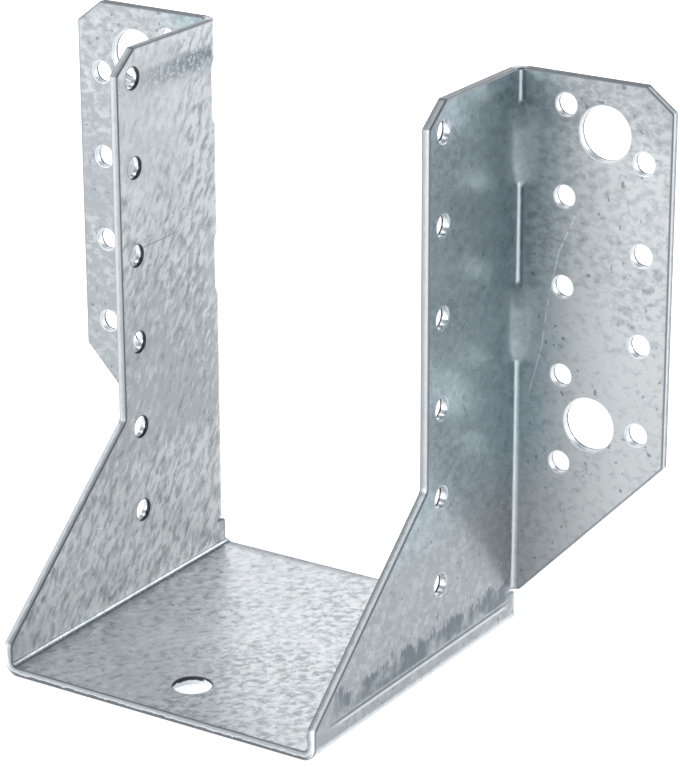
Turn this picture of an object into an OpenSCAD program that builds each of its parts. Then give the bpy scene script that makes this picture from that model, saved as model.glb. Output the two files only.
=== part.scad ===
// Joist hanger with outward flanges: one steel sheet, punched flat and folded up.
// The seat lies on z = 0 and the flanges stand at the back, against the header.
// X runs across the joist, Y along it towards the header, Z up.
// The origin is under the middle of the footprint.

/* [Joist pocket] */
// Clear width between the cheeks, for a 75 mm joist
joist_w = 76; // [60:1:100]
// Length of the seat along the joist
seat_d = 82; // [70:1:100]
// Height from the underside of the seat to the top edge
hanger_h = 128; // [122:1:160]
// Thickness of the sheet
sheet_t = 2; // [1.5:0.1:2.5]

/* [Cheeks] */
// Depth of a cheek's upright part, from the header plane to its front edge
cheek_d = 38.5; // [30:0.5:50]
// Height at which a cheek's front edge starts to slant forwards
kink_h = 44.5; // [30:0.5:60]
// Height of a cheek's front edge at the seat's front corner
toe_h = 7; // [6:0.5:15]

/* [Flanges] */
// Width of a flange, from the cheek's outer face
flange_w = 36; // [36:0.5:50]
// Height of the flange's outer lower corner
flange_corner_h = 45; // [38:0.5:50]
// Height of the lower end of the flange's bend
flange_foot_h = 9; // [8.5:0.5:15]

/* [Corner cuts] */
// Width of the cut at each top corner
cut_w = 6.5; // [3:0.5:8]
// Height of the cut at each top corner
cut_h = 5; // [3:0.5:8]

/* [Bends] */
// Inside radius of the bend between seat and cheek
seat_bend_r = 1.2; // [1:0.1:3]
// Inside radius of the bend between cheek and flange
flange_bend_r = 1.5; // [1:0.1:2.5]

/* [Foot of the cheek] */
// How far the foot of a cheek stops short of the header plane
foot_setback = 1; // [0.5:0.1:2]
// Height of the slit between the foot and the flange's bend
foot_gap = 0.8; // [0.5:0.1:1.2]

/* [Nail holes] */
// Diameter of the nail holes
nail_d = 5; // [4:0.1:5.5]
// Spacing of the nail holes up a column
nail_pitch = 20; // [17:0.1:20]
// Drop from the top edge to the first row of nail holes
first_row = 6.5; // [6.5:0.1:10]
// Nail holes up each cheek
cheek_rows = 6; // [3:1:6]
// Nail holes up the flange's inner column
inner_rows = 5; // [3:1:5]
// Nail holes up the flange's outer column, half a spacing lower
outer_rows = 4; // [2:1:4]
// Distance of the cheek's nail holes from its front edge
cheek_edge = 5.5; // [5:0.1:8]
// Distance of the inner column from the cheek's outer face
inner_col = 11; // [9:0.1:12]
// Distance of the outer column from the cheek's outer face
outer_col = 29.5; // [29:0.1:31]

/* [Bolt holes] */
// Diameter of the bolt holes
bolt_d = 12; // [9:0.1:13]
// Drop of the upper bolt hole below the first row
bolt_drop = 5; // [4:0.1:6]
// Distance of the lower bolt hole from the cheek's outer face
low_bolt_col = 18; // [16:0.1:19]
// Row of the inner column that the lower bolt hole is half a spacing below
low_bolt_row = 4; // [2:1:4]

/* [Seat hole] */
// Diameter of the hole in the seat
seat_hole_d = 8.5; // [5:0.1:12]
// Distance of the hole from the seat's front edge
seat_hole_edge = 13.5; // [10:0.1:30]

/* [Stiffening darts] */
// Length of a dart along the bend
dart_l = 17.5; // [14:0.1:20]
// How far the sheet is pushed in at the middle of a dart
dart_rise = 1.7; // [1:0.1:1.8]
// Radius of the dart's face
dart_r = 12; // [10:0.5:14]
// Radius of the punch's nose, which dents the back of the bend
punch_r = 3; // [2.5:0.1:4]
// How much further than its dent a dart's face runs, at each end
dart_run = 1.2; // [0.5:0.1:2]
// Nail spacings between the darts
dart_steps = 2; // [1:1:3]
// Darts in each bend
darts = 2; // [1:1:2]

/* [Hidden] */
$fn = 96;
zinc = [0.74, 0.77, 0.79];
over = 1;                                // how far a cutting tool runs past a face
bite = sheet_t / 4;                      // how deep a dart's face is let into the sheet
inner_x = joist_w / 2;                   // cheek's face against the joist
outer_x = inner_x + sheet_t;             // cheek's outer face
edge_x = outer_x + flange_w;             // flange's outer edge
seat_bend_out = seat_bend_r + sheet_t;
flange_bend_out = flange_bend_r + sheet_t;
bend_x = outer_x + flange_bend_r;        // axis of the flange's bend
mid_col = (inner_col + outer_col) / 2;
first_z = hanger_h - first_row;          // height of the first row
low_bolt_z = first_z - (low_bolt_row - 0.5) * nail_pitch;
slit_z = flange_foot_h - foot_gap;
// How far the bend's inside face, and the dart's crest, stand off the sharp corner
corner = (sqrt(2) - 1) * flange_bend_r;
dart_crest = corner + dart_rise;

// The channel's section across the joist: seat, two bends and two cheeks.
module channel_section() {
    difference() {
        tray(outer_x, 0, seat_bend_out, hanger_h);
        tray(inner_x, sheet_t, seat_bend_r, hanger_h + over);
    }
}

// A round-bottomed tray: half width x, bottom at z, corner radius r, open at top.
module tray(x, z, r, top) {
    translate([-x, z + r]) square([2 * x, top - z - r]);
    translate([r - x, z]) square([2 * (x - r), r]);
    for (side = [-1, 1])
        translate([side * (x - r), z + r]) circle(r);
}

// A cheek seen from the side, with the seat's edge below it; 0 is the header plane.
module side_outline() {
    difference() {
        polygon([
            [0, 0], [-seat_d, 0], [-seat_d, toe_h],
            [-cheek_d, kink_h], [-cheek_d, hanger_h - cut_h], [cut_w - cheek_d, hanger_h],
            [-flange_bend_out, hanger_h], [-flange_bend_out, slit_z],
            [-foot_setback, slit_z], [-foot_setback, seat_bend_out], [0, sheet_t]
        ]);
        translate([-flange_bend_out, slit_z + foot_gap / 2]) circle(foot_gap / 2);
    }
}

// A flange seen from the front, from the cheek's inner face to its outer edge.
module flange_outline() {
    polygon([
        [inner_x, hanger_h], [edge_x - cut_w, hanger_h], [edge_x, hanger_h - cut_h],
        [edge_x, flange_corner_h], [bend_x, flange_foot_h], [inner_x, flange_foot_h]
    ]);
}

// The flange's section, seen from above: a strip of cheek, the bend and the flange.
module flange_section() {
    translate([inner_x, -cheek_d / 2]) square([sheet_t, cheek_d / 2 - flange_bend_out]);
    translate([bend_x, -sheet_t]) square([edge_x - bend_x, sheet_t]);
    intersection() {
        translate([bend_x, -flange_bend_out]) difference() {
            circle(flange_bend_out);
            circle(flange_bend_r);
        }
        translate([inner_x, -flange_bend_out]) square(flange_bend_out);
    }
}

// The folded channel, cut to the cheek's side outline.
module channel() {
    intersection() {
        rotate([90, 0, 0]) linear_extrude(seat_d) channel_section();
        translate([-edge_x, 0, 0]) rotate([90, 0, 90]) linear_extrude(2 * edge_x) side_outline();
    }
}

// One flange with its bend, on the +X side.
module flange() {
    intersection() {
        linear_extrude(hanger_h) flange_section();
        rotate([90, 0, 0]) linear_extrude(seat_d) flange_outline();
    }
}

// A round-ended bar of radius r along the bend. Its crest stands off the sharp corner, and
// it rises out of the bend over the length l, centred on height z.
module dart_bar(r, crest, l, z) {
    off = (r - crest) / sqrt(2);
    half = l / 2 - sqrt(pow(r, 2) - pow(r - dart_rise, 2));
    translate([outer_x - off, off - sheet_t, z]) {
        cylinder(h = 2 * half, r = r, center = true);
        for (end = [-1, 1])
            translate([0, 0, end * half]) sphere(r);
    }
}

// The face of one dart, standing proud in the corner between cheek and flange.
module dart_face(z) {
    intersection() {
        dart_bar(dart_r, dart_crest, dart_l, z);
        translate([outer_x - bite, -dart_r - sheet_t, z - dart_l])
            cube([dart_r, dart_r + bite, 2 * dart_l]);
    }
}

// The dent behind a dart, left by the punch's nose: the sheet keeps its thickness there.
module dart_dent(z) {
    dart_bar(punch_r, dart_crest - sheet_t, dart_l - 2 * dart_run, z);
}

// Height of the middle of dart i, counted from the top: half a spacing below a row.
function dart_z(i) = first_z - (0.5 + i * dart_steps) * nail_pitch;

// A punched hole through the flange, d across, at column x and height z.
module flange_hole(d, x, z) {
    translate([outer_x + x, over, z]) rotate([90, 0, 0]) cylinder(h = sheet_t + 2 * over, d = d);
}

// A punched hole through the cheek at height z.
module cheek_hole(z) {
    translate([inner_x - over, cheek_edge - cheek_d, z])
        rotate([0, 90, 0]) cylinder(h = sheet_t + 2 * over, d = nail_d);
}

// The punched hole in the seat, on the middle line.
module seat_hole() {
    translate([0, seat_hole_edge - seat_d, -over]) cylinder(h = sheet_t + 2 * over, d = seat_hole_d);
}

// All the holes of the +X side.
module side_holes() {
    for (i = [0 : cheek_rows - 1])
        cheek_hole(first_z - i * nail_pitch);
    for (i = [0 : inner_rows - 1])
        flange_hole(nail_d, inner_col, first_z - i * nail_pitch);
    for (i = [0 : outer_rows - 1])
        flange_hole(nail_d, outer_col, first_z - (i + 0.5) * nail_pitch);
    flange_hole(bolt_d, mid_col, first_z - bolt_drop);
    flange_hole(bolt_d, low_bolt_col, low_bolt_z);
}

// Runs its children for the +X side and mirrored for the -X side.
module both_sides() {
    children();
    mirror([1, 0, 0]) children();
}

// The folded sheet, with its darts pressed in and its holes punched.
module joist_hanger() {
    color(zinc)
    translate([0, seat_d / 2, 0])
    difference() {
        union() {
            channel();
            both_sides() {
                flange();
                for (i = [0 : darts - 1]) dart_face(dart_z(i));
            }
        }
        both_sides() {
            side_holes();
            for (i = [0 : darts - 1]) dart_dent(dart_z(i));
        }
        seat_hole();
    }
}

joist_hanger();
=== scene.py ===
"""Joist hanger: one galvanised steel sheet, punched flat and folded up, on a pale floor."""

from functools import partial

import bpy
import numpy as np
from mathutils import Matrix, Vector
from mathutils.geometry import delaunay_2d_cdt


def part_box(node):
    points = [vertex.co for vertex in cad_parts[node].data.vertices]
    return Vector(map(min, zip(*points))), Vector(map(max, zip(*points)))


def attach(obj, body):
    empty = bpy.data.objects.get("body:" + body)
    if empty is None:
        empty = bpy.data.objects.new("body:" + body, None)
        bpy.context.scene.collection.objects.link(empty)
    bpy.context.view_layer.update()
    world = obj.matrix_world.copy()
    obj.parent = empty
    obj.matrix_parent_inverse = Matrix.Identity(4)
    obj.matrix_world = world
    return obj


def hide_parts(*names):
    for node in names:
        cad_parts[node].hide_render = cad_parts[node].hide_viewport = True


bl_info = {
    "name": "Joist Hanger",
    "version": (1, 0, 0),
    "blender": (4, 5, 0),
    "location": "3D View > Sidebar > Hanger",
    "description": "Builds a folded sheet-steel joist hanger with its galvanised finish and a studio",
    "category": "Add Mesh",
}

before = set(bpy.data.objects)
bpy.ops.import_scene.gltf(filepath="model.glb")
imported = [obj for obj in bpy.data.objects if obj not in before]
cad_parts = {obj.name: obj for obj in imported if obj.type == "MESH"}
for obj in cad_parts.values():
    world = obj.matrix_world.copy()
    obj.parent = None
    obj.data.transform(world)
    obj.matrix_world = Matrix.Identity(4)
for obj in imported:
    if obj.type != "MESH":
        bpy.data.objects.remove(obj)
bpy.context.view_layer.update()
NODE = "joist_hanger"
LOW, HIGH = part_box(NODE)
MM = 0.001
BEND_STEP = 0.36 * MM  # spacing of the points where the sheet turns


def linear(hex_colour):
    """An sRGB hex colour such as "#C0C8CC" as linear red, green and blue."""
    parts = np.array([int(hex_colour[i : i + 2], 16) for i in (1, 3, 5)]) / 255
    low, high = parts / 12.92, ((parts + 0.055) / 1.055) ** 2.4
    return tuple(float(c) for c in np.where(parts <= 0.04045, low, high))


def length(name, text, default, low=0.0, high=1.0):
    """A size in metres."""
    return bpy.props.FloatProperty(
        name=name,
        description=text,
        default=default,
        min=low,
        max=high,
        precision=5,
        unit="LENGTH",
    )


def number(name, text, default, low=0.0, high=10.0):
    """A plain number."""
    return bpy.props.FloatProperty(name=name, description=text, default=default, min=low, max=high)


def colour(name, text, default):
    """A colour, given as sRGB hex."""
    return bpy.props.FloatVectorProperty(
        name=name,
        description=text,
        default=linear(default),
        min=0.0,
        max=1.0,
        size=3,
        subtype="COLOR",
    )


class HangerSizes(bpy.types.PropertyGroup):
    """Sizes of the blank and of its folds."""

    height: length("Height", "From the seat's underside to the top edge", HIGH[2] - LOW[2])
    seat_depth: length("Seat depth", "Length of the seat along the joist", HIGH[1] - LOW[1])
    half_width: length("Half width", "From the middle to a flange's outer edge", HIGH[0])
    joist_width: length("Joist width", "Clear width between the cheeks", 76 * MM)
    sheet: length("Sheet", "Thickness of the sheet", 2 * MM)
    cheek_depth: length("Cheek depth", "From the header plane to a cheek's front edge", 38.5 * MM)
    kink_height: length("Kink height", "Where a cheek's front edge starts to slant", 44.5 * MM)
    toe_height: length("Toe height", "Height of a cheek at the seat's front corner", 7 * MM)
    cut_width: length("Cut width", "Width of the cut at each top corner", 6.5 * MM)
    cut_height: length("Cut height", "Height of the cut at each top corner", 5 * MM)
    flange_corner: length("Flange corner", "Height of a flange's outer lower corner", 45 * MM)
    flange_foot: length("Flange foot", "Height of the lower end of a flange's bend", 9 * MM)
    foot_gap: length("Foot gap", "Height of the slit under a flange's bend", 0.8 * MM)
    foot_setback: length("Foot setback", "From the header plane to the cheek's foot", 1 * MM)
    seat_bend: length("Seat bend", "Inside radius of the bend between seat and cheek", 1.2 * MM)
    flange_bend: length("Flange bend", "Inside radius of the bend at a flange", 1.5 * MM)
    corner: length("Corner", "Radius left on the blank's outer corners", 0.7 * MM)
    roll_over: length("Roll-over", "Radius left on the outline's cut edge", 0.34 * MM)
    hole_roll_over: length("Hole roll-over", "Radius left on a hole's edge", 0.16 * MM)
    nail_hole: length("Nail hole", "Diameter of a nail hole", 5 * MM)
    nail_spacing: length("Nail spacing", "Spacing of the nail holes up a column", 20 * MM)
    first_row: length("First row", "Drop from the top edge to the first nail holes", 6.5 * MM)
    cheek_column: length("Cheek column", "From a cheek's front edge to its nail holes", 5.5 * MM)
    inner_column: length("Inner column", "From the cheek to the flange's inner nail holes", 11 * MM)
    outer_column: length("Outer column", "From the cheek to the flange's outer nail holes", 29.5 * MM)
    bolt_hole: length("Bolt hole", "Diameter of a bolt hole", 12 * MM)
    bolt_drop: length("Bolt drop", "Drop of the upper bolt hole below the first row", 5 * MM)
    low_bolt_column: length("Low bolt column", "From the cheek to the lower bolt hole", 18 * MM)
    seat_hole: length("Seat hole", "Diameter of the hole in the seat", 8.5 * MM)
    seat_hole_edge: length("Seat hole edge", "From the seat's front edge to its hole", 13.5 * MM)
    dart_length: length("Dart length", "Length of a stiffening dart along the bend", 17.5 * MM)
    dart_rise: length("Dart rise", "How far a dart is pushed in at its middle", 1.7 * MM)
    dart_radius: length("Dart radius", "Radius of a dart's face", 12 * MM)
    punch_radius: length("Punch radius", "Radius of the punch's nose, which dents the back", 3 * MM)
    dart_run: length("Dart run", "How much further than its dent a dart's face runs", 1.2 * MM)
    dart_blend: length("Dart blend", "Softness of a dart's border", 0.7 * MM)


class HangerFinish(bpy.types.PropertyGroup):
    """The look of the zinc."""

    zinc: colour("Zinc", "Clean zinc", "#C1C3C3")
    # The painted shade darkens the zinc towards this colour, as the dull patches do.
    zinc_dull: colour("Dull zinc", "Dull patches of the zinc", "#9DA1A3")
    fleck: colour("Fleck", "Dark flecks between the crystals", "#66727A")
    burnish: colour("Burnish", "Smooth part of a cut edge, wiped with zinc", "#E4E8EA")
    shear: colour("Shear", "Grey part of the sheared outline", "#65696D")
    steel: colour("Steel", "Torn part of a punched hole, bare steel", "#34373A")
    # The scratch colour also paints the highlights along the bends and the paler tint on the darts.
    scratch: colour("Scratch", "Bare scratches", "#DDE2E4")
    # A painted bluish reflection on the outside of the cheeks takes this colour.
    painted_blue_cast: colour("Film", "Tint of the bluish film on the outside of the cheeks", "#E9F9FF")
    metallic: number("Metallic", "Share of the zinc's light that is mirrored", 0.55, 0.0, 1.0)
    roughness: number("Roughness", "Roughness of the zinc", 0.34, 0.0, 1.0)
    fleck_width: length("Fleck width", "Spacing of the flecks across their grain", 1.7 * MM)
    fleck_length: length("Fleck length", "Spacing of the flecks along their grain", 3.6 * MM)
    grain: length("Grain", "Size of a zinc crystal", 0.9 * MM)
    burnished: number("Burnished share", "Share of a hole's wall that the punch burnished", 0.58, 0.0, 1.0)


class HangerStudio(bpy.types.PropertyGroup):
    """Floor, light and camera."""

    floor: colour("Floor", "Colour of the floor", "#F6F7F8")
    glow: number("Glow", "Light from under the floor", 0.74)
    sky: number("Sky", "Light from all round", 0.13)
    sky_tint: colour("Sky tint", "Colour of the light from all round", "#A7D3FF")
    back_left: number("Back left light", "Large soft light behind on the left, in watts", 9.75, 0.0, 500.0)
    back_right: number("Back right light", "Large soft light behind on the right, in watts", 6.2, 0.0, 500.0)
    high_left: number("High left light", "Soft panel high on the left, in watts", 3.0, 0.0, 500.0)
    low_front: number("Low front light", "Low soft panel in front, in watts", 9.6, 0.0, 500.0)
    low_back: number("Low back light", "Low soft panel behind on the right, in watts", 4.9, 0.0, 500.0)
    card: colour("Card", "Colour of the dark card in front", "#12323F")
    camera_at: bpy.props.FloatVectorProperty(
        name="Camera", description="Where the camera stands", size=3, subtype="XYZ",
        unit="LENGTH", default=(0.36543, -0.53611, 0.30249),
    )
    heading: number("Heading", "Direction of view, in degrees round from the front", 32.804, -180, 180)
    fall: number("Fall", "How far the view looks down, in degrees", 20.366, -90, 90)
    roll: number("Roll", "Turn of the camera about its own axis, in degrees", -0.216, -180, 180)
    lens: number("Lens", "Focal length in millimetres on a 36 mm frame", 152.55, 1, 500)


# ---------------------------------------------------------------- the blank and its folds


class Blank:
    """Lines of the flat sheet that the outline, the holes and the folds share.

    u runs across the blank from the seat's middle line, out to the cheek and up it. v runs along the joist,
    0 at the header plane, and past the flange's bend it runs out along the flange. Both follow the sheet's
    mid-plane.
    """

    def __init__(self, s):
        self.inner = s.joist_width / 2
        self.outer = self.inner + s.sheet
        self.seat_turn = s.seat_bend + s.sheet / 2
        self.seat_out = s.seat_bend + s.sheet
        self.seat_start = self.outer - self.seat_out
        self.seat_end = self.seat_start + self.seat_turn * np.pi / 2
        self.rise = self.seat_end - self.seat_out
        self.flange_turn = s.flange_bend + s.sheet / 2
        self.flange_start = -(s.flange_bend + s.sheet)
        self.flange_end = self.flange_start + self.flange_turn * np.pi / 2
        self.run = self.flange_end - self.outer - s.flange_bend
        self.front = -s.seat_depth
        self.slit = s.flange_foot - s.foot_gap

    def up(self, z):
        """u of the height z on a cheek or flange."""
        return z + self.rise

    def out(self, x):
        """v of the distance x from the middle, on a flange."""
        return x + self.run


def dart_middles(s):
    """Height of the middle of each dart of a bend: half a spacing below the first and the third row."""
    return [s.height - s.first_row - rows * s.nail_spacing for rows in (0.5, 2.5)]


def dart_lift(x, y, z, radius, crest, span, s, b):
    """How far a dart moves each point diagonally out of the corner between cheek and flange.

    The point moves until it clears a bar with rounded ends that lies along the bend: the root of the bar's
    radius squared, less the squares of the distances across it and beyond its end, less how far out along the
    diagonal the point already is. A smooth maximum with zero softens the border.
    """
    off = (radius - crest) / np.sqrt(2)
    half = span / 2 - np.sqrt(radius**2 - (radius - s.dart_rise) ** 2)
    px, py = x - (b.outer - off), y - (off - s.sheet)
    along, across = (px - py) / np.sqrt(2), (px + py) / np.sqrt(2)
    lift = np.zeros_like(x)
    for middle in dart_middles(s):
        beyond = np.maximum(np.abs(z - middle) - half, 0)
        reach = radius**2 - beyond**2 - across**2
        height = np.sqrt(np.maximum(reach, 0)) - along + np.minimum(reach, 0) / radius
        soft = np.clip(height + s.dart_blend, 0, 2 * s.dart_blend) ** 2 / (4 * s.dart_blend)
        lift += np.where(height > s.dart_blend, height, soft)
    return lift


def fold(u, v, depth, s, b):
    """Where a point of the blank, at a depth below the outer face, goes once the sheet is folded.

    The outer face is the seat's underside, the outside of a cheek and the front of a flange. Across the
    blank, the seat turns up through a quarter circle about an axis inside the channel: x is the flat part
    plus the radius times the sine of the turn, z falls short of the bend's outside radius by the radius
    times its cosine. Above the slit, the flange turns out in the same way about an axis outside the channel.
    A dart then moves the outer face diagonally onto its bar, and the inner face onto the punch's nose.
    """
    side = np.where(u < 0, -1.0, 1.0)
    a = np.abs(u)
    turn = np.clip((a - b.seat_start) / b.seat_turn, 0, np.pi / 2)
    x = np.minimum(a, b.seat_start) + (b.seat_out - depth) * np.sin(turn)
    z = b.seat_out - (b.seat_out - depth) * np.cos(turn) + np.maximum(a - b.seat_end, 0)
    folded = a > b.up(s.flange_foot - s.foot_gap / 2)
    swing = np.where(folded, np.clip((v - b.flange_start) / b.flange_turn, 0, np.pi / 2), 0)
    x = x + (s.flange_bend + depth) * (1 - np.cos(swing))
    x = x + np.where(folded, np.maximum(v - b.flange_end, 0), 0)
    y = np.where(folded, np.minimum(v, b.flange_start), v) + (s.flange_bend + depth) * np.sin(swing)

    crest = (np.sqrt(2) - 1) * s.flange_bend + s.dart_rise
    face = dart_lift(x, y, z, s.dart_radius, crest, s.dart_length, s, b)
    span = s.dart_length - 2 * s.dart_run
    dent = dart_lift(x, y, z, s.punch_radius, crest - s.sheet, span, s, b)
    share = depth / s.sheet
    lift = np.where(folded, face * (1 - share) + dent * share, 0) / np.sqrt(2)
    return np.stack([side * (x + lift), y - lift + s.seat_depth / 2, z], -1)


def corner_curve(before, at, after, radius):
    """A corner rounded to this radius: the arc touching both sides, as a rational quadratic curve."""
    if radius == 0:
        return at[None]
    come = (at - before) / np.linalg.norm(at - before)
    go = (after - at) / np.linalg.norm(after - at)
    half = np.arccos(np.clip(come @ go, -1, 1)) / 2
    t = np.linspace(0, 1, 6)[:, None]
    weights = np.stack([(1 - t) ** 2, 2 * t * (1 - t) * np.cos(half), t**2])
    reach = radius * np.tan(half)
    ends = np.stack([at - come * reach, at, at + go * reach])[:, None]
    return (weights * ends).sum(0) / weights.sum(0)


def divided(points, coarse, fine, b):
    """A closed line with points added, so that each step is coarse, or fine where the sheet bends."""
    out = []
    for p, q in zip(points, np.roll(points, -1, axis=0)):
        middle = (p + q) / 2
        bends = b.seat_start < abs(middle[0]) < b.seat_end or b.flange_start < middle[1] < b.flange_end
        n = max(1, int(np.ceil(np.linalg.norm(q - p) / (fine if bends else coarse))))
        out.append(p + (q - p) * (np.arange(n) / n)[:, None])
    return np.concatenate(out)


def outline(s, b):
    """The blank's outline, anticlockwise: the right half's corners, rounded, and the same mirrored."""
    r = s.corner
    top, cut = b.up(s.height), b.up(s.height - s.cut_height)
    cheek = -s.cheek_depth
    edge = b.out(s.half_width)
    foot, slit = b.up(s.flange_foot), b.up(b.slit)
    round_end = foot - s.foot_gap / 2
    tip = b.seat_start + b.seat_turn * np.arccos((b.seat_out - s.sheet) / b.seat_turn)
    half = [
        (0, b.front, 0), (b.seat_start, b.front, 0), (b.seat_end, b.front, 0),
        (b.up(s.toe_height), b.front, 2 * r), (b.up(s.kink_height), cheek, 3 * r), (cut, cheek, r),
        (top, cheek + s.cut_width, r), (top, b.flange_start, 0), (top, b.flange_end, 0),
        (top, edge - s.cut_width, r), (cut, edge, r), (b.up(s.flange_corner), edge, r),
        (foot, b.flange_end, r), (foot, b.flange_start, 0),
    ]
    t = np.linspace(0, np.pi, 7)[1:-1]
    gap = s.foot_gap / 2
    end = np.stack([round_end + gap * np.cos(t), b.flange_start - gap * np.sin(t)], -1)
    half += [(*p, 0) for p in end]
    half += [
        (slit, b.flange_start, 0), (slit, -s.foot_setback, r), (b.seat_end, -s.foot_setback, r),
        (tip, 0, r), (b.seat_start, 0, 0), (0, 0, 0),
    ]
    half = np.array(half, float)
    other = half[-2:0:-1] * (-1, 1, 1)
    whole = np.concatenate([half, other])
    places = whole[:, :2]
    curves = [
        corner_curve(places[i - 1], places[i], places[(i + 1) % len(places)], whole[i, 2])
        for i in range(len(places))
    ]
    return divided(np.concatenate(curves), 1.0 * MM, BEND_STEP, b)


def holes(s, b):
    """Centre and radius of every hole, in the blank: (u, v, radius)."""
    first = s.height - s.first_row
    pitch, nail, bolt = s.nail_spacing, s.nail_hole / 2, s.bolt_hole / 2
    middle = (s.inner_column + s.outer_column) / 2
    half = [(b.up(first - i * pitch), s.cheek_column - s.cheek_depth, nail) for i in range(6)]
    half += [(b.up(first - i * pitch), b.out(b.outer + s.inner_column), nail) for i in range(5)]
    half += [(b.up(first - (i + 0.5) * pitch), b.out(b.outer + s.outer_column), nail) for i in range(4)]
    half += [
        (b.up(first - s.bolt_drop), b.out(b.outer + middle), bolt),
        (b.up(first - 3.5 * pitch), b.out(b.outer + s.low_bolt_column), bolt),
    ]
    half = np.array(half)
    seat = np.array([[0, b.front + s.seat_hole_edge, s.seat_hole / 2]])
    return np.concatenate([half, half * (-1, 1, 1), seat])


def hole_line(u, v, radius):
    """A hole's edge, clockwise, so that the metal lies to its left as it does along the outline."""
    n = max(32, int(2 * np.pi * radius / (0.5 * MM)))
    t = -np.arange(n) * 2 * np.pi / n
    return np.stack([u + radius * np.cos(t), v + radius * np.sin(t)], -1)


def inward(line):
    """For each point of a closed line, the step to its left that moves both its sides by one."""
    side = np.roll(line, -1, axis=0) - line
    side /= np.linalg.norm(side, axis=1, keepdims=True)
    left = np.stack([-side[:, 1], side[:, 0]], -1)
    before = np.roll(left, 1, axis=0)
    return (left + before) / (1 + (left * before).sum(1, keepdims=True))


def inside(points, line):
    """Whether each point lies within a closed line: the ray to its right crosses an odd number of sides."""
    p, q = line, np.roll(line, -1, axis=0)
    crosses = (p[:, 1] > points[:, 1:]) != (q[:, 1] > points[:, 1:])
    rise = np.where(q[:, 1] == p[:, 1], 1, q[:, 1] - p[:, 1])
    at = p[:, 0] + (points[:, 1:] - p[:, 1]) / rise * (q[:, 0] - p[:, 0])
    return (crosses & (points[:, :1] < at)).sum(1) % 2 == 1


def grid(u, v):
    """Every pairing of two lists of values."""
    return np.stack(np.meshgrid(u, v, indexing="ij"), -1).reshape(-1, 2)


def spread(start, end, step):
    """Evenly spaced values from start to end, no further apart than step."""
    return np.linspace(start, end, int(np.ceil((end - start) / step)) + 1)


def inner_points(s, b):
    """Points inside the blank: wide apart where it is flat, close in the bends and closest in the darts."""
    top = b.up(s.height)
    edge = b.out(s.half_width)
    wide, along_seat, along_flange = 2.6 * MM, 1.6 * MM, 1.2 * MM
    seat = grid(spread(-b.seat_start, b.seat_start, wide), spread(b.front, 0, wide))
    bend = grid(spread(b.seat_start, b.seat_end, BEND_STEP), spread(b.front, 0, along_seat))
    cheek = grid(spread(b.seat_end, top, wide), spread(b.front, b.flange_start, wide))
    flange = grid(spread(b.seat_end, top, wide), spread(b.flange_end, edge, wide))
    turn = spread(b.flange_start, b.flange_end, BEND_STEP)
    others = np.concatenate([bend, cheek, flange, grid(spread(b.seat_end, top, along_flange), turn)])

    along_dart, across_dart, beyond_end, beyond_side, gap = np.array([0.45, 0.3, 1.5, 4.2, 0.2]) * MM
    reach = s.dart_length / 2 + beyond_end
    columns = spread(b.flange_start - beyond_side, b.flange_end + beyond_side, across_dart)
    across = np.abs(others[:, 1] - (b.flange_start + b.flange_end) / 2) < (
        (b.flange_end - b.flange_start) / 2 + beyond_side + gap
    )
    darts, near = [], np.zeros(len(others), bool)
    for middle in map(b.up, dart_middles(s)):
        darts.append(grid(spread(middle - reach, middle + reach, along_dart), columns))
        near |= across & (np.abs(others[:, 0] - middle) < reach + gap)
    half = np.concatenate([others[~near], *darts])
    half = half[half[:, 0] > 0]
    spots = np.concatenate([seat, half, half * (-1, 1)])
    same = 0.05 * MM
    _, first = np.unique(np.round(spots / same).astype(int), axis=0, return_index=True)
    return spots[np.sort(first)]


def edge_profile(s, r):
    """The cut edge from outer to inner face, as (inset, depth): a quarter round, a wall, a small round."""
    burr = 0.6 * r
    t = np.linspace(0, np.pi / 2, 5)
    first = np.stack([r * (1 - np.sin(t)), r * (1 - np.cos(t))], -1)
    last = np.stack([burr * (1 - np.cos(t)), s.sheet - burr * (1 - np.sin(t))], -1)
    return np.concatenate([first, last])


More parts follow.
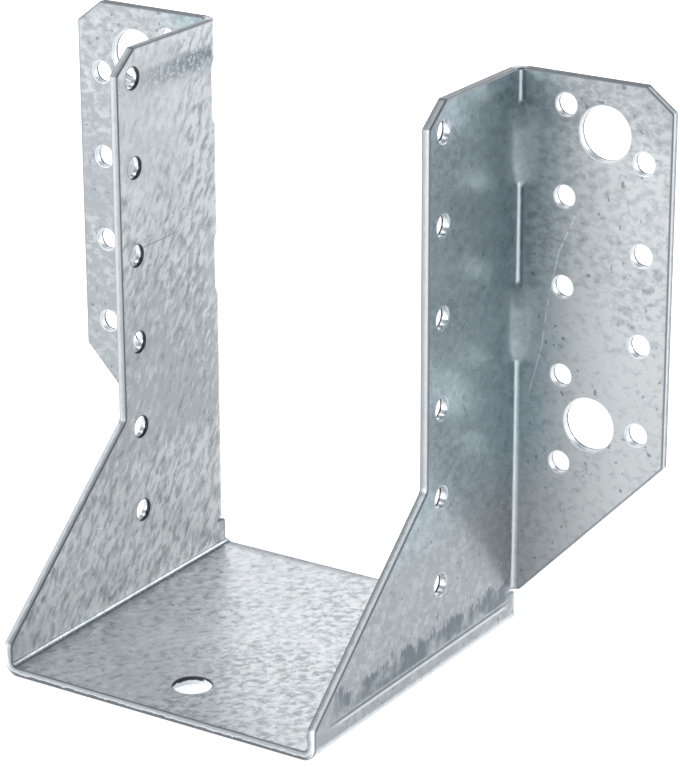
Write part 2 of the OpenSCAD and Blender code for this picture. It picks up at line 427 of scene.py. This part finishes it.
def sheet_mesh(s):
    """The whole folded sheet as (places, faces, blank coordinates, cut).

    cut holds, for each place, its share of the thickness below the outer face, whether it is on the outline's
    edge and whether it is on a hole's wall.

    Both faces share one triangulation of the blank between its outline and holes, each moved in by the edge's
    width. The cut edges are the profile carried along the outline and round the holes. Then it is folded.
    """
    b = Blank(s)
    lines = [outline(s, b)] + [hole_line(*h) for h in holes(s, b)]
    rounds = [s.roll_over] + [s.hole_roll_over] * (len(lines) - 1)
    land = 0.15 * MM  # a flat strip beside each round, which keeps the shading of the faces flat
    clear = 2.2 * (s.roll_over + land)
    steps = [inward(line) for line in lines]
    rims = [line + (r + land) * step for line, step, r in zip(lines, steps, rounds)]
    spots = inner_points(s, b)
    keep = inside(spots, lines[0] + clear * steps[0])
    for u, v, radius in holes(s, b):
        keep &= np.hypot(spots[:, 0] - u, spots[:, 1] - v) > radius + clear
    flat = np.concatenate([*rims, spots[keep]])
    ends = np.cumsum([0] + [len(rim) for rim in rims])
    loops = [np.arange(a, z) for a, z in zip(ends[:-1], ends[1:])]
    edges = np.concatenate([np.stack([loop, np.roll(loop, -1)], -1) for loop in loops])
    scale = 1 / MM
    made = delaunay_2d_cdt([Vector(p) for p in flat * scale], edges.tolist(), [], 0, 1e-6)
    if len(made[0]) != len(flat):
        raise RuntimeError("the blank's outline or holes cross each other")
    came_from = np.array([o[0] for o in made[3]])
    triangles = came_from[np.array(made[2])]
    middles = flat[triangles].mean(1)
    inner = inside(middles, rims[0])
    for line in rims[1:]:
        centre = line.mean(0)
        radius = np.hypot(*(line[0] - centre)) * np.cos(np.pi / len(line))
        inner &= np.hypot(*(middles - centre).T) > radius
    triangles = triangles[inner]
    count = len(flat)
    outer_side = triangles[:, ::-1]
    inner_side = triangles + count

    uv, quads = [flat, flat], []
    depth = [np.zeros(count), np.full(count, s.sheet)]
    kind = [np.zeros((2 * count, 2))]
    total = 2 * count
    for i, (line, step, loop) in enumerate(zip(lines, steps, loops)):
        profile = edge_profile(s, rounds[i])
        kind.append(np.tile((i == 0, i > 0), (len(line) * len(profile), 1)))
        rings = [loop]
        for offset, q in profile:
            uv.append(line + offset * step)
            depth.append(np.full(len(line), q))
            rings.append(total + np.arange(len(line)))
            total += len(line)
        rings.append(loop + count)
        rings = np.array(rings)
        after = np.roll(rings, -1, axis=1)
        quads.append(np.stack([rings[:-1], after[:-1], after[1:], rings[1:]], -1).reshape(-1, 4))
    uv, depth = np.concatenate(uv), np.concatenate(depth)
    places = fold(uv[:, 0], uv[:, 1], depth, s, b)
    faces = np.concatenate([outer_side, inner_side]).tolist() + np.concatenate(quads).tolist()
    return places, faces, uv, np.column_stack([depth / s.sheet, np.concatenate(kind)])


# ---------------------------------------------------------------- the finish


# The property that holds each node type's choice, then the kinds of node that come most often.
CHOICES = {
    "Math": "operation",
    "VectorMath": "operation",
    "MapRange": "interpolation_type",
    "Mix": "data_type",
}
TIMES, PLUS, LESS, MOST = "Math MULTIPLY", "Math ADD", "Math SUBTRACT", "Math MAXIMUM"
TIMES_PLUS, SIZE = "Math MULTIPLY_ADD", "Math ABSOLUTE"
RAMP, MIX, NOISE = "MapRange SMOOTHSTEP", "Mix RGBA", "TexNoise"


def add(tree, kind, *values, **settings):
    """Adds a node and returns its first output.

    kind is the node's type and, after a space, its choice. Each value goes to the next of its sockets: an
    output is linked, None leaves the socket as it is and anything else is set. Values left over go on to
    another such node, behind the first one's result. A setting goes to the socket or property of its name.
    """
    name, _, choice = kind.partition(" ")
    node = tree.nodes.new("ShaderNode" + name)
    if choice:
        setattr(node, CHOICES[name], choice)
    sockets = [socket for socket in node.inputs if socket.enabled]
    pairs = list(zip(sockets, values))
    for key, value in settings.items():
        socket = node.inputs.get(key.replace("_", " "))
        if socket:
            pairs.append((socket, value))
        else:
            setattr(node, key, value)
    for socket, value in pairs:
        if isinstance(value, bpy.types.NodeSocket):
            tree.links.new(value, socket)
        elif value is not None:
            socket.default_value = (*value, 1) if socket.type == "RGBA" else value
    first = next((output for output in node.outputs if output.enabled), None)
    rest = values[len(sockets) :]
    return add(tree, kind, first, *rest, **settings) if rest else first


def blend(n, factor, a, b):
    """Value a where factor is 0 and b where it is 1."""
    return n(TIMES_PLUS, factor, n(LESS, b, a), a)


def grained(n, flat, degrees, wide, long, seed, detail=3.0):
    """Noise drawn out along a direction of the blank, degrees round from its u axis."""
    turned = n("Mapping", flat, None, (0, 0, -np.radians(degrees)))
    counted = n("Mapping", turned, (seed, seed, seed), None, (1 / long, 1 / wide, 1))
    return n(NOISE, counted, 1.0, detail, 0.62, Distortion=0.4)


def stroke(n, flat, start, end, width):
    """1 on a straight stroke between two places of the blank in millimetres, falling to 0 at its width.

    The distance is that from the point to the nearest one of the stroke, whose share along it is the dot
    product of the step from the start with the stroke, over the stroke's length squared, held within 0 and 1.
    """
    start, end = np.array((*start, 0)) * MM, np.array((*end, 0)) * MM
    whole = end - start
    step = n("VectorMath SUBTRACT", flat, start)
    share = n("VectorMath DOT_PRODUCT", step, whole / (whole @ whole))
    share = n(MOST, n("Math MINIMUM", share, 1.0), 0.0)
    away = n("VectorMath DISTANCE", step, n("VectorMath SCALE", whole, share))
    return n(RAMP, away, width * MM, 0.0)


class Zones:
    """Where a point of the sheet lies: values from 0 to 1, and its place in the blank."""

    def __init__(self, n, s, b):
        self.place = n("TexCoord").node.outputs["Object"]
        self.flat = n("UVMap", uv_map="Blank")
        cut = n("Attribute", attribute_name="Cut", attribute_type="GEOMETRY").node.outputs["Vector"]
        self.below, self.sheared, self.punched = n("SeparateXYZ", cut).node.outputs
        self.u, self.v, _ = n("SeparateXYZ", self.flat).node.outputs
        self.up = n(SIZE, self.u)
        self.inner = n(RAMP, self.below, 0.45, 0.55)
        self.outer = n(LESS, 1.0, self.inner)
        self.on_cheek = n(RAMP, self.up, b.seat_start, b.seat_end)
        self.on_flange = n(RAMP, self.v, b.flange_start, b.flange_end)

        border = s.sheet / 4
        self.in_bend = n(
            TIMES,
            n(RAMP, self.up, b.seat_start, b.seat_start + border),
            n(RAMP, self.up, b.seat_end, b.seat_end - border),
        )

        # A dart's part of the bend reaches 5 mm onto the cheek and 4 mm onto the flange.
        darts = 0.0
        for middle in dart_middles(s):
            away = n(SIZE, n(LESS, self.up, b.up(middle)))
            darts = n(MOST, darts, n(RAMP, away, s.dart_length / 2, s.dart_length / 2 - 1 * MM))
        self.in_fold = n(
            TIMES,
            n(RAMP, self.v, b.flange_start, b.flange_start + border),
            n(RAMP, self.v, b.flange_end, b.flange_end - border),
            n("Math GREATER_THAN", self.up, b.up(b.slit)),
            n(LESS, 1.0, darts),
        )
        self.in_dart = n(
            TIMES,
            darts,
            n(RAMP, self.v, b.flange_start - 5 * MM, b.flange_start - 2 * MM),
            n(RAMP, self.v, b.flange_end + 4 * MM, b.flange_end + 2 * MM),
        )

        # The die is shorter than the seat: its marks fade out over 9 mm in front and 5 mm at the back.
        die_front, die_back = 3 * MM - s.seat_depth, -2 * MM
        self.in_die = n(
            TIMES,
            n(RAMP, self.v, die_front, die_front + 9 * MM),
            n(RAMP, self.v, die_back, die_back - 5 * MM),
        )
        self.by_fold = n(RAMP, self.v, b.flange_end + 14 * MM, b.flange_end)


def marks_and_painted_shade(n, z, s, b):
    """How dark the marks are that the press and the handling left, and a painted shade, from 0 to 1.

    The die smears a streaky band along the outside of each seat bend and scribes a line below it. The clamp
    dulls a band below the top edge, more so towards the flange. Then come a few scratches and spots inside,
    painted shade, mottled, on a flange next to its bend, and dots on the outer face.
    """
    line_at = b.seat_end + 3 * MM
    streaks = grained(n, z.flat, 0, 0.9 * MM, 5 * MM, 23.0)
    clouds = n(NOISE, z.flat, 1 / (7 * MM), 2.0, 0.6)
    # The smear's ragged top, which the streaks lift by up to 8 mm and the clouds by up to 14 mm.
    above_top = n(TIMES_PLUS, streaks, -8 * MM, n(LESS, z.up, b.seat_end - 2 * MM))
    above_top = n(TIMES_PLUS, clouds, -14 * MM, above_top)
    smear = n(
        TIMES,
        n(RAMP, above_top, 0.0, -1.5 * MM),
        n(RAMP, z.up, line_at + 0.4 * MM, line_at + 1.2 * MM),
        n(RAMP, clouds, 0.3, 0.6),
        n(TIMES_PLUS, streaks, 1.8, 0.2),
    )
    line = n(RAMP, n(SIZE, n(LESS, z.up, line_at)), 0.35 * MM, 0.1 * MM)
    die = n(TIMES, n(MOST, smear, line), z.in_die, z.outer, n(LESS, 1.0, z.on_flange))

    drop = n(LESS, b.up(s.height), z.up)
    clamp = n(
        TIMES,
        n(RAMP, drop, 4.5 * MM, 6.5 * MM),
        n(RAMP, drop, 13 * MM, 8 * MM),
        n(RAMP, z.v, -s.cheek_depth, -5 * MM, 0.4, 1.3),
        n(RAMP, n(NOISE, z.flat, 1 / (1.2 * MM), 4.0, 0.75), 0.35, 0.55),
        z.inner,
        0.8,
    )

    scratch = n(TIMES, stroke(n, z.flat, (-119.8, -30.5), (-120.0, -19), 0.22), 0.9)
    scratch_end = n(TIMES, stroke(n, z.flat, (-120, -19), (-120.3, -6), 0.14), 0.36)
    spot = n(TIMES, stroke(n, z.flat, (-50.4, -70.6), (-50.8, -70.2), 1.0), 0.8)
    small_spot = n(TIMES, stroke(n, z.flat, (-28.6, -36.9), (-27.4, -36.9), 0.6), 0.8)
    inside = n(TIMES, n(MOST, scratch, scratch_end, spot, small_spot), z.inner)

    # Painted shade: mottled darkening on a flange next to its bend, in the corner with the cheek.
    painted_corner_shade = n(RAMP, n(NOISE, z.flat, 1 / (2.2 * MM), 3.0, 0.6), 0.44, 0.6)
    painted_corner_shade = n(TIMES, z.by_fold, z.on_flange, painted_corner_shade, 0.22)
    dots = n(
        TIMES,
        n(RAMP, n(NOISE, z.flat, 1 / (1.9 * MM), 1.0, 0.5), 0.67, 0.72),
        n(RAMP, n(NOISE, z.flat, 1 / (15 * MM), 1.0, 0.5), 0.42, 0.55),
        z.outer,
        0.7,
    )
    return n(MOST, die, clamp, inside, painted_corner_shade, dots)


def bright_scratches(n, z, b):
    """Where bright zinc shows: a broken scratch on the right flange, and the ridge below the die's line."""
    path = [(134.6, 12.6), (126.3, 8.9), (113.5, 6.3), (104.4, 5.2), (92.3, 2.0)]
    scratch = n(MOST, *[stroke(n, z.flat, p, q, 0.22) for p, q in zip(path, path[1:])])
    broken = n(RAMP, n(NOISE, z.flat, 1 / (2 * MM), 2.0, 0.6), 0.4, 0.52)
    ridge = n(RAMP, n(SIZE, n(LESS, z.up, b.seat_end + 2.3 * MM)), 0.5 * MM, 0.1 * MM)
    return n(MOST, n(TIMES, scratch, broken), n(TIMES, ridge, z.outer, z.in_die, 0.8))


def painted_shading(n, z, b):
    """Painted light and shade, as how much duller the zinc is: darker around the middle of a cheek's inside
    and lighter at its top, darker down a cheek's outside towards its foot, darker at the right flange's top
    and lighter lower down, and darker over the left flange.
    """

    def height(*ends):
        return n(RAMP, z.up, b.up(ends[0] * MM), b.up(ends[1] * MM), *ends[2:])

    inside = n(TIMES, height(95, 50, -0.1, 0.65), height(28, 40))
    outside = height(45, 25, 0.0, 0.4)
    cheek = n(TIMES, blend(n, z.inner, outside, inside), z.on_cheek)
    right = n(PLUS, height(112, 122, 0.0, 0.5), height(90, 70, -0.2, -0.5))
    flange = blend(n, n("Math LESS_THAN", z.u, 0.0), right, height(80, 120, 0.5, 0.2))
    return blend(n, z.on_flange, cheek, flange)


def zinc_tone(n, z, f, b, facet, mottle):
    """The zinc's ripple, how dull it is, with painted light and shade added, and how dark its flecks are, as
    three values.

    The flecks lie across the blank on the seat, slant on a cheek's inside and are faint and short elsewhere.
    A calm part at the top of a cheek's inside shows few of them.
    """
    patches = n(NOISE, z.place, 1 / (16 * MM), 3.0, 0.55)
    plain = n(MOST, z.on_flange, z.outer)
    seat_grain = grained(n, z.flat, 60, f.fleck_width, f.fleck_width * 1.25, 3.0)
    cheek_grain = grained(n, z.flat, 146, f.fleck_width, f.fleck_length, 11.0)
    plain_grain = grained(n, z.flat, 90, f.fleck_width, f.fleck_width * 1.3, 17.0, 2.0)
    ripple = blend(n, plain, blend(n, z.on_cheek, seat_grain, cheek_grain), plain_grain)

    calm = n(
        TIMES,
        n(RAMP, z.up, b.up(85 * MM), b.up(105 * MM)),
        n(RAMP, z.v, -8 * MM, -20 * MM),
        z.inner,
        z.on_cheek,
    )
    level = n(TIMES_PLUS, patches, 0.22, n(TIMES_PLUS, plain, -0.1, 0.27))
    flecks = n(TIMES, n(RAMP, n(LESS, ripple, level), 0.07, -0.07), n(TIMES_PLUS, calm, -0.35, 0.55))

    busy = n(RAMP, n(NOISE, z.place, 1 / (22 * MM), 2.0, 0.5), 0.4, 0.62, 0.7, 1.25)
    busy = n(PLUS, busy, n(TIMES, n(RAMP, z.v, -16 * MM, -5 * MM), z.on_cheek, 0.4))
    strength = n(
        TIMES,
        busy,
        n(TIMES_PLUS, calm, -0.6, 1.0),
        blend(n, z.on_cheek, n(RAMP, z.u, -20 * MM, 10 * MM, 0.55, 1.0), 1.0),
        n(TIMES_PLUS, plain, -0.9, 1.5),
    )
    tone = n(TIMES_PLUS, facet, 0.1, n(TIMES_PLUS, mottle, 1.6, -0.4))
    tone = n(PLUS, tone, n(TIMES_PLUS, patches, 0.8, -0.4))
    tone = n(TIMES_PLUS, n(LESS, n(RAMP, ripple, 0.66, 0.34), 0.45), strength, tone)
    # The tone takes on the painted light and shade.
    return ripple, n(PLUS, tone, painted_shading(n, z, b), use_clamp=True), flecks


def zinc_colour(n, z, f, s, b, pressed, tone, flecks):
    """The zinc with its flecks and marks, painted shade in its bends, a painted bluish reflection outside the
    cheeks, painted highlights along the bends and a paler tint on the darts.
    """
    marks = n(MOST, flecks, marks_and_painted_shade(n, z, s, b))
    shade = n(TIMES, marks, n(TIMES_PLUS, pressed, -0.9, 1.0))
    # Painted shade: darker inside each seat bend, and on the flange's side of a flange's bend, beside its
    # painted highlight.
    past_core = 0.4 * b.flange_start + 0.6 * b.flange_end
    near_flange = 0.2 * b.flange_start + 0.8 * b.flange_end
    painted_fold_shade = n(TIMES, n(RAMP, z.v, past_core, near_flange), z.in_fold, 0.5)
    shade = n(MOST, shade, n(TIMES, z.in_bend, z.inner, 0.5), painted_fold_shade)
    zinc = n(MIX, shade, n(MIX, tone, f.zinc, f.zinc_dull), f.fleck)

    # A painted bluish reflection on the outside of the cheeks, from 18 mm up, and on the front of a flange
    # near its bend.
    painted_blue_cast = n(TIMES, z.by_fold, z.outer, n(RAMP, z.up, b.up(18 * MM), b.up(50 * MM)))
    zinc = n("VectorMath MULTIPLY", zinc, n(MIX, painted_blue_cast, (1, 1, 1), f.painted_blue_cast))
    # A painted highlight: a pale line along the middle of a flange's bend; the darts get a paler tint too.
    painted_fold_highlight = n(SIZE, n(LESS, z.v, 0.6 * b.flange_start + 0.4 * b.flange_end))
    painted_fold_highlight = n(TIMES, n(RAMP, painted_fold_highlight, 0.8 * MM, 0.3 * MM), z.in_fold, 0.9)
    zinc = n(MIX, n(MOST, painted_fold_highlight, n(TIMES, z.in_dart, 0.3)), zinc, f.scratch)
    # A painted highlight along the outside of each seat bend.
    zinc = n(MIX, n(TIMES, z.in_bend, z.outer, 0.6), zinc, f.scratch)
    return n(MIX, bright_scratches(n, z, b), zinc, f.scratch), painted_blue_cast


def cut_edges(n, z, f, s, b, zinc):
    """The colour with its cut edges, and how far a hole's wall is torn.

    A hole's wall is burnished and pale where the punch went in, at the outer face, and torn and dark where
    the slug broke away, at the inner face. The outline is pale and streaky between two grey arrises, and
    greyer at the lower part of the seat's edge and along the top. A cheek's upright front edge keeps zinc.
    """
    right = n("Math GREATER_THAN", z.u, 0.0)
    start = n(TIMES_PLUS, n(MOST, z.on_flange, right), 0.2, f.burnished)
    jag = n(TIMES_PLUS, n(NOISE, z.place, 1 / (1.2 * MM), 3.0, 0.6), 0.4, n(LESS, z.below, 0.2))
    torn = n(TIMES, n(RAMP, n(LESS, jag, start), -0.04, 0.04), z.punched)

    streak = n(TIMES_PLUS, n(NOISE, z.place, 1 / (1.6 * MM), 3.0, 0.65), 0.5, n(LESS, z.below, 0.25))
    arris = n(RAMP, n(SIZE, n(LESS, z.below, 0.5)), 0.3, 0.44)
    lower = n(TIMES, n(RAMP, streak, 0.5, 0.38), n(RAMP, z.up, b.seat_end, b.seat_start))
    top = b.up(s.height)
    at_top = n(RAMP, z.up, top - 0.4 * MM, top - 0.1 * MM)
    lip = n(MOST, n(TIMES, arris, 0.75), lower, n(TIMES, at_top, 0.7))
    kink = b.up(s.kink_height)
    upright = n(TIMES, n(RAMP, z.up, kink - 1 * MM, kink), n(RAMP, z.v, 0.0, -5 * MM))
    wall = n(MIX, n(RAMP, streak, 0.3, 0.75), n(MIX, upright, f.burnish, f.zinc), f.zinc_dull)

    tint = n(MIX, n(TIMES, z.punched, 0.9), zinc, f.burnish)
    tint = n(MIX, torn, tint, f.steel)
    return n(MIX, z.sheared, tint, n(MIX, lip, wall, f.shear)), torn


def galvanised_steel(f, s, b):
    """Pre-galvanised sheet, hot-dipped and skin-passed: pale bluish zinc with ripples and dull patches, and
    painted light and shade.

    The crystals scatter its gloss, so it mirrors only broad shapes. The ripple and the flecks are drawn
    at 1.7 by 3.6 mm and a crystal at 0.9 mm.
    """
    material = bpy.data.materials.new("hot_dip_galvanised_steel")
    material.use_nodes = True
    material.node_tree.nodes.clear()
    n = partial(add, material.node_tree)
    z = Zones(n, s, b)
    pressed = n(MOST, n(TIMES, z.in_bend, blend(n, z.inner, 1.0, 0.35)), z.in_fold)
    crystals = n("TexVoronoi", z.place, 1 / f.grain).node.outputs["Color"]
    facet = n("SeparateXYZ", crystals)
    mottle = n(NOISE, z.place, 1 / (3 * MM), 4.0, 0.65)
    ripple, tone, flecks = zinc_tone(n, z, f, b, facet, mottle)
    zinc, painted_blue_cast = zinc_colour(n, z, f, s, b, pressed, tone, flecks)
    tint, torn = cut_edges(n, z, f, s, b, zinc)

    rough = n(TIMES_PLUS, facet, 0.06, n(TIMES_PLUS, mottle, 0.1, f.roughness - 0.11))
    rough = n(PLUS, rough, n(TIMES, n(MOST, torn, z.sheared), 0.2), n(TIMES, z.on_flange, 0.2))
    rough = n(PLUS, rough, n(TIMES, z.in_dart, 0.3), n(TIMES, painted_blue_cast, -0.05))
    rough = n(TIMES, rough, n(TIMES_PLUS, pressed, -0.45, 1.0))
    relief = n(TIMES_PLUS, n(NOISE, z.place, 1 / (0.7 * MM), 2.0, 0.6), 0.25, ripple)
    bump = n("Bump", 0.6, 0.08 * MM, None, relief)
    shader = n("BsdfPrincipled", Base_Color=tint, Metallic=f.metallic, Roughness=rough, Normal=bump)
    n("OutputMaterial", shader)
    return material


def painted(name, rgb, roughness=0.9):
    """A plain matt paint, for the studio."""
    material = bpy.data.materials.new(name)
    material.use_nodes = True
    shader = material.node_tree.nodes["Principled BSDF"]
    shader.inputs["Base Color"].default_value = (*rgb, 1)
    shader.inputs["Roughness"].default_value = roughness
    return material


def new_object(name, mesh):
    """Puts a mesh in the scene, at the origin."""
    thing = bpy.data.objects.new(name, mesh)
    bpy.context.scene.collection.objects.link(thing)
    return thing


# ---------------------------------------------------------------- operators


FLOOR = 4.0  # half the floor's width, and the backdrop's height
CARD_THICKNESS = 2 * MM
FILM_WIDTH = 36  # in millimetres, as the lens is
MIDDLE = Vector((0, 0, 60 * MM))  # where the lights point


class HANGER_OT_sheet(bpy.types.Operator):
    """Build the folded sheet in place of the plain solid"""

    bl_idname = "hanger.sheet"
    bl_label = "Folded sheet"

    def execute(self, context):
        s, f = context.scene.hanger_sizes, context.scene.hanger_finish
        places, faces, flat, cut = sheet_mesh(s)
        mesh = bpy.data.meshes.new("folded_sheet")
        mesh.from_pydata(places, [], faces)
        corners = np.empty(len(mesh.loops), np.int32)
        mesh.loops.foreach_get("vertex_index", corners)
        layer = mesh.uv_layers.new(name="Blank")
        layer.uv.foreach_set("vector", flat[corners].astype(np.float32).ravel())
        marks = mesh.attributes.new("Cut", "FLOAT_VECTOR", "POINT")
        marks.data.foreach_set("vector", cut.astype(np.float32).ravel())
        mesh.shade_smooth()
        mesh.validate()
        piece = new_object("folded_sheet", mesh)
        mesh.materials.append(galvanised_steel(f, s, Blank(s)))
        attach(piece, "root")
        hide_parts(NODE)
        return {"FINISHED"}


class HANGER_OT_stage(bpy.types.Operator):
    """Lay the floor, hang the lights and set up the camera"""

    bl_idname = "hanger.stage"
    bl_label = "Floor, light and camera"

    def execute(self, context):
        scene, w = context.scene, context.scene.hanger_studio
        sides = np.array([-FLOOR, FLOOR])
        corners = grid(sides, sides)
        mesh = bpy.data.meshes.new("floor")
        mesh.from_pydata(np.pad(corners, ((0, 0), (0, 1))), [], [(0, 2, 3, 1)])
        board = painted("matt_white_board", w.floor)
        shader = board.node_tree.nodes["Principled BSDF"]
        shader.inputs["Emission Color"].default_value = (1, 1, 1, 1)
        shader.inputs["Emission Strength"].default_value = w.glow
        mesh.materials.append(board)
        new_object("floor", mesh)
        self.backdrop(board)
        # The card leaves the floor bright close in front of the hanger, and further out on the left.
        front = [(-40, 0.15, 1), (-59, 0.15, 1), (-78, 0.15, 1), (-78.1, 0.3, 1), (-95, 0.3, 1)]
        self.floor_card("dark_card", front, w.card)

        world = bpy.data.worlds.new("studio")
        world.use_nodes = True
        background = world.node_tree.nodes["Background"]
        background.inputs["Color"].default_value = (*w.sky_tint, 1)
        background.inputs["Strength"].default_value = w.sky
        scene.world = world

        self.soft_light("back_left", (-0.9, 1.4, 0.8), (1.2, 1.2), w.back_left)
        self.soft_light("back_right", (0.9, 1.3, 0.9), (1.0, 1.0), w.back_right)
        self.soft_light("high_left", (-0.75, -0.2, 1.2), (0.5, 0.5), w.high_left)
        self.soft_light("low_front", (-0.28, -1.06, 0.3), (0.8, 0.4), w.low_front)
        self.soft_light("low_back", (0.6, 0.92, 0.3), (0.7, 0.4), w.low_back)
        scene.view_settings.view_transform = "Standard"

        data = bpy.data.cameras.new("camera")
        data.lens = w.lens
        data.sensor_width = FILM_WIDTH
        camera = bpy.data.objects.new("camera", data)
        a, e, r = np.radians((w.heading, w.fall, w.roll))
        view = Vector((-np.sin(a) * np.cos(e), np.cos(a) * np.cos(e), -np.sin(e)))
        right = view.cross(Vector((0, 0, 1))).normalized()
        up = right.cross(view)
        right, up = right * np.cos(r) + up * np.sin(r), up * np.cos(r) - right * np.sin(r)
        turn = Matrix((right, up, -view)).transposed().to_4x4()
        camera.matrix_world = Matrix.Translation(w.camera_at) @ turn
        scene.collection.objects.link(camera)
        scene.camera = camera
        return {"FINISHED"}

    def backdrop(self, board):
        """A round wall about the floor that only the camera sees: a circle's points, low and high."""
        count, radius, sunk = 96, 3.9, 0.01
        low = np.arange(count)
        after = np.roll(low, -1)
        t = low * 2 * np.pi / count
        circle = np.stack([radius * np.cos(t), radius * np.sin(t), np.full(count, -sunk)], -1)
        mesh = bpy.data.meshes.new("backdrop")
        places = np.concatenate([circle, circle + (0, 0, FLOOR)])
        mesh.from_pydata(places, [], np.stack([low, low + count, after + count, after], -1).tolist())
        mesh.materials.append(board)
        wall = new_object("backdrop", mesh)
        wall.visible_diffuse = wall.visible_glossy = wall.visible_shadow = False

    def floor_card(self, name, spans, rgb):
        """A card on the floor that only the metal sees; a span is a bearing, a near and a far edge."""
        bearing, near, far = np.array(spans, float).T
        turn = np.stack([np.cos(np.radians(bearing)), np.sin(np.radians(bearing))], -1)
        rim = np.concatenate([turn * near[:, None], (turn * far[:, None])[::-1]])
        mesh = bpy.data.meshes.new(name)
        places = np.pad(rim, ((0, 0), (0, 1)), constant_values=CARD_THICKNESS)
        mesh.from_pydata(places, [], [tuple(range(len(rim)))])
        mesh.materials.append(painted(f"matt_{name}", rgb))
        card = new_object(name, mesh)
        card.visible_camera = card.visible_shadow = False

    def soft_light(self, name, place, size, watts):
        """A rectangular soft light that points at the hanger."""
        data = bpy.data.lights.new(name, "AREA")
        data.shape = "RECTANGLE"
        data.size, data.size_y = size
        data.energy = watts
        light = bpy.data.objects.new(name, data)
        light.location = place
        light.rotation_euler = (MIDDLE - light.location).to_track_quat("-Z", "Y").to_euler()
        light.visible_camera = False
        bpy.context.scene.collection.objects.link(light)


class HANGER_PT_panel(bpy.types.Panel):
    """The hanger's sizes, finish and studio"""

    bl_idname = "HANGER_PT_panel"
    bl_label = "Joist hanger"
    bl_space_type = "VIEW_3D"
    bl_region_type = "UI"
    bl_category = "Hanger"

    def draw(self, context):
        layout, scene = self.layout, context.scene
        for operator in (HANGER_OT_sheet, HANGER_OT_stage):
            layout.operator(operator.bl_idname)
        for group in (scene.hanger_sizes, scene.hanger_finish, scene.hanger_studio):
            column = layout.column(align=True)
            for name in group.bl_rna.properties.keys():
                if name not in ("rna_type", "name"):
                    column.prop(group, name)


GROUPS = {"hanger_sizes": HangerSizes, "hanger_finish": HangerFinish, "hanger_studio": HangerStudio}
CLASSES = (*GROUPS.values(), HANGER_OT_sheet, HANGER_OT_stage, HANGER_PT_panel)


def register():
    """Adds the classes, and the groups to the scene."""
    for cls in CLASSES:
        bpy.utils.register_class(cls)
    for name, group in GROUPS.items():
        setattr(bpy.types.Scene, name, bpy.props.PointerProperty(type=group))


def unregister():
    """Takes away what register added."""
    for name in GROUPS:
        delattr(bpy.types.Scene, name)
    for cls in reversed(CLASSES):
        bpy.utils.unregister_class(cls)


def main():
    """Builds everything."""
    register()
    bpy.ops.hanger.sheet()
    bpy.ops.hanger.stage()


if __name__ == "__main__":
    main()
